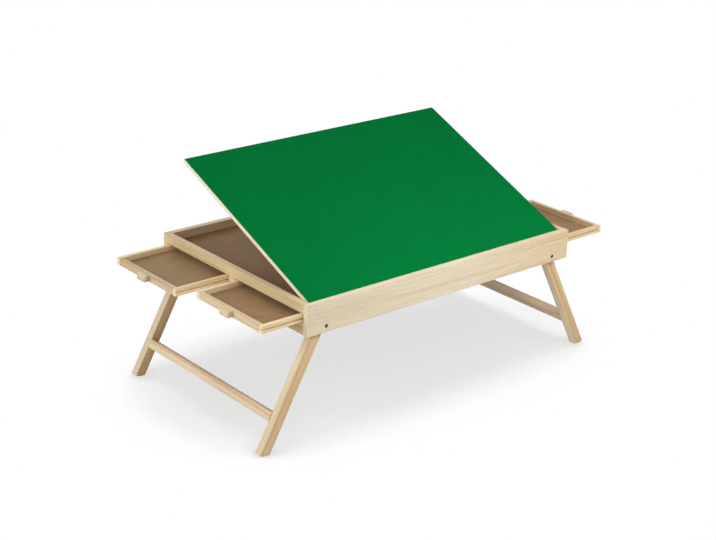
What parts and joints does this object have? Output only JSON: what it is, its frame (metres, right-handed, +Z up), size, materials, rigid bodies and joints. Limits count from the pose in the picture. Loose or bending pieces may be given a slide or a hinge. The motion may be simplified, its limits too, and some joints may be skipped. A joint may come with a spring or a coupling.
{
  "type": "jigsaw puzzle table with drawers",
  "caption": "Low wooden jigsaw puzzle table with a felted tilting board, shallow sorting drawers at both ends and splayed folding legs.",
  "frame": {"origin": "on the floor, under the middle of the table", "axes": "+X along the long side to the right of a person seated at it, -Y towards that person, +Z up"},
  "size_m": [1.077, 0.528, 0.5106],
  "materials": {
    "pine": "clear satin lacquer",
    "leg_wood": "clear satin lacquer, warmer tone",
    "plywood": "sanded",
    "hardboard": "smooth brown face",
    "green_felt": "short dense nap",
    "bronzed_steel": "dark bronze",
    "zinc_steel": "zinc plated",
    "brass": "satin"
  },
  "bodies": {
    "frame": {"front_apron": "pine", "back_apron": "pine", "left_top_rail": "pine", "right_top_rail": "pine", "left_bottom_rail": "pine", "right_bottom_rail": "pine", "centre_posts": "pine", "leg_stop_battens": "pine", "tray_floor": "hardboard", "centre_divider": "pine", "drawer_runners": "pine", "drawer_stops": "pine", "leg_bolts": "bronzed_steel", "leg_nuts": "zinc_steel", "lower_hinge_leaves": "zinc_steel", "hinge_pins": "zinc_steel", "front_ledge": "pine", "back_ledge": "pine", "prop_guides": "zinc_steel"},
    "left_legs": {"left_front_leg": "leg_wood", "left_back_leg": "leg_wood", "left_stretcher": "leg_wood"},
    "right_legs": {"right_front_leg": "leg_wood", "right_back_leg": "leg_wood", "right_stretcher": "leg_wood"},
    "board": {"board_panel": "plywood", "felt_cover": "green_felt", "board_front_batten": "pine", "board_back_batten": "pine", "board_side_battens": "pine", "upper_hinge_leaves": "zinc_steel", "prop_brackets": "zinc_steel", "prop_pins": "zinc_steel"},
    "prop": {"prop_arms": "pine", "prop_cross_bar": "pine", "prop_foot_rod": "zinc_steel", "prop_thumb_nuts": "brass"},
    "front_left_drawer": {"front_left_drawer_sides": "pine", "front_left_drawer_front": "pine", "front_left_drawer_back": "pine", "front_left_drawer_bottom": "hardboard", "front_left_drawer_handle": "pine"},
    "back_left_drawer": {"back_left_drawer_sides": "pine", "back_left_drawer_front": "pine", "back_left_drawer_back": "pine", "back_left_drawer_bottom": "hardboard", "back_left_drawer_handle": "pine"},
    "front_right_drawer": {"front_right_drawer_sides": "pine", "front_right_drawer_front": "pine", "front_right_drawer_back": "pine", "front_right_drawer_bottom": "hardboard", "front_right_drawer_handle": "pine"},
    "back_right_drawer": {"back_right_drawer_sides": "pine", "back_right_drawer_front": "pine", "back_right_drawer_back": "pine", "back_right_drawer_bottom": "hardboard", "back_right_drawer_handle": "pine"}
  },
  "joints": [
    {"name": "board_tilt", "type": "hinge", "parent": "frame", "child": "board", "pos_m": [0, -0.2447, 0.3083], "axis": [1, 0, 0], "range_deg": [-23, 4]},
    {"name": "prop_swing", "type": "hinge", "parent": "board", "child": "prop", "pos_m": [0, -0.01453, 0.40589], "axis": [1, 0, 0], "range_deg": [-10, 56]},
    {"name": "left_legs_fold", "type": "hinge", "parent": "frame", "child": "left_legs", "pos_m": [-0.34, 0, 0.266], "axis": [0, -1, 0], "range_deg": [0, 118.4]},
    {"name": "right_legs_fold", "type": "hinge", "parent": "frame", "child": "right_legs", "pos_m": [0.34, 0, 0.266], "axis": [0, 1, 0], "range_deg": [0, 118.4]},
    {"name": "front_left_drawer_slide", "type": "slide", "parent": "frame", "child": "front_left_drawer", "axis": [-1, 0, 0], "range_m": [-0.103, 0.167]},
    {"name": "back_left_drawer_slide", "type": "slide", "parent": "frame", "child": "back_left_drawer", "axis": [-1, 0, 0], "range_m": [-0.1355, 0.1345]},
    {"name": "front_right_drawer_slide", "type": "slide", "parent": "frame", "child": "front_right_drawer", "axis": [1, 0, 0], "range_m": [-0.1355, 0.1345]},
    {"name": "back_right_drawer_slide", "type": "slide", "parent": "frame", "child": "back_right_drawer", "axis": [1, 0, 0], "range_m": [0, 0.27]}
  ],
  "couplings": [
    {"joint": "prop_swing", "follows": "board_tilt", "ratio": -2.4}
  ]
}
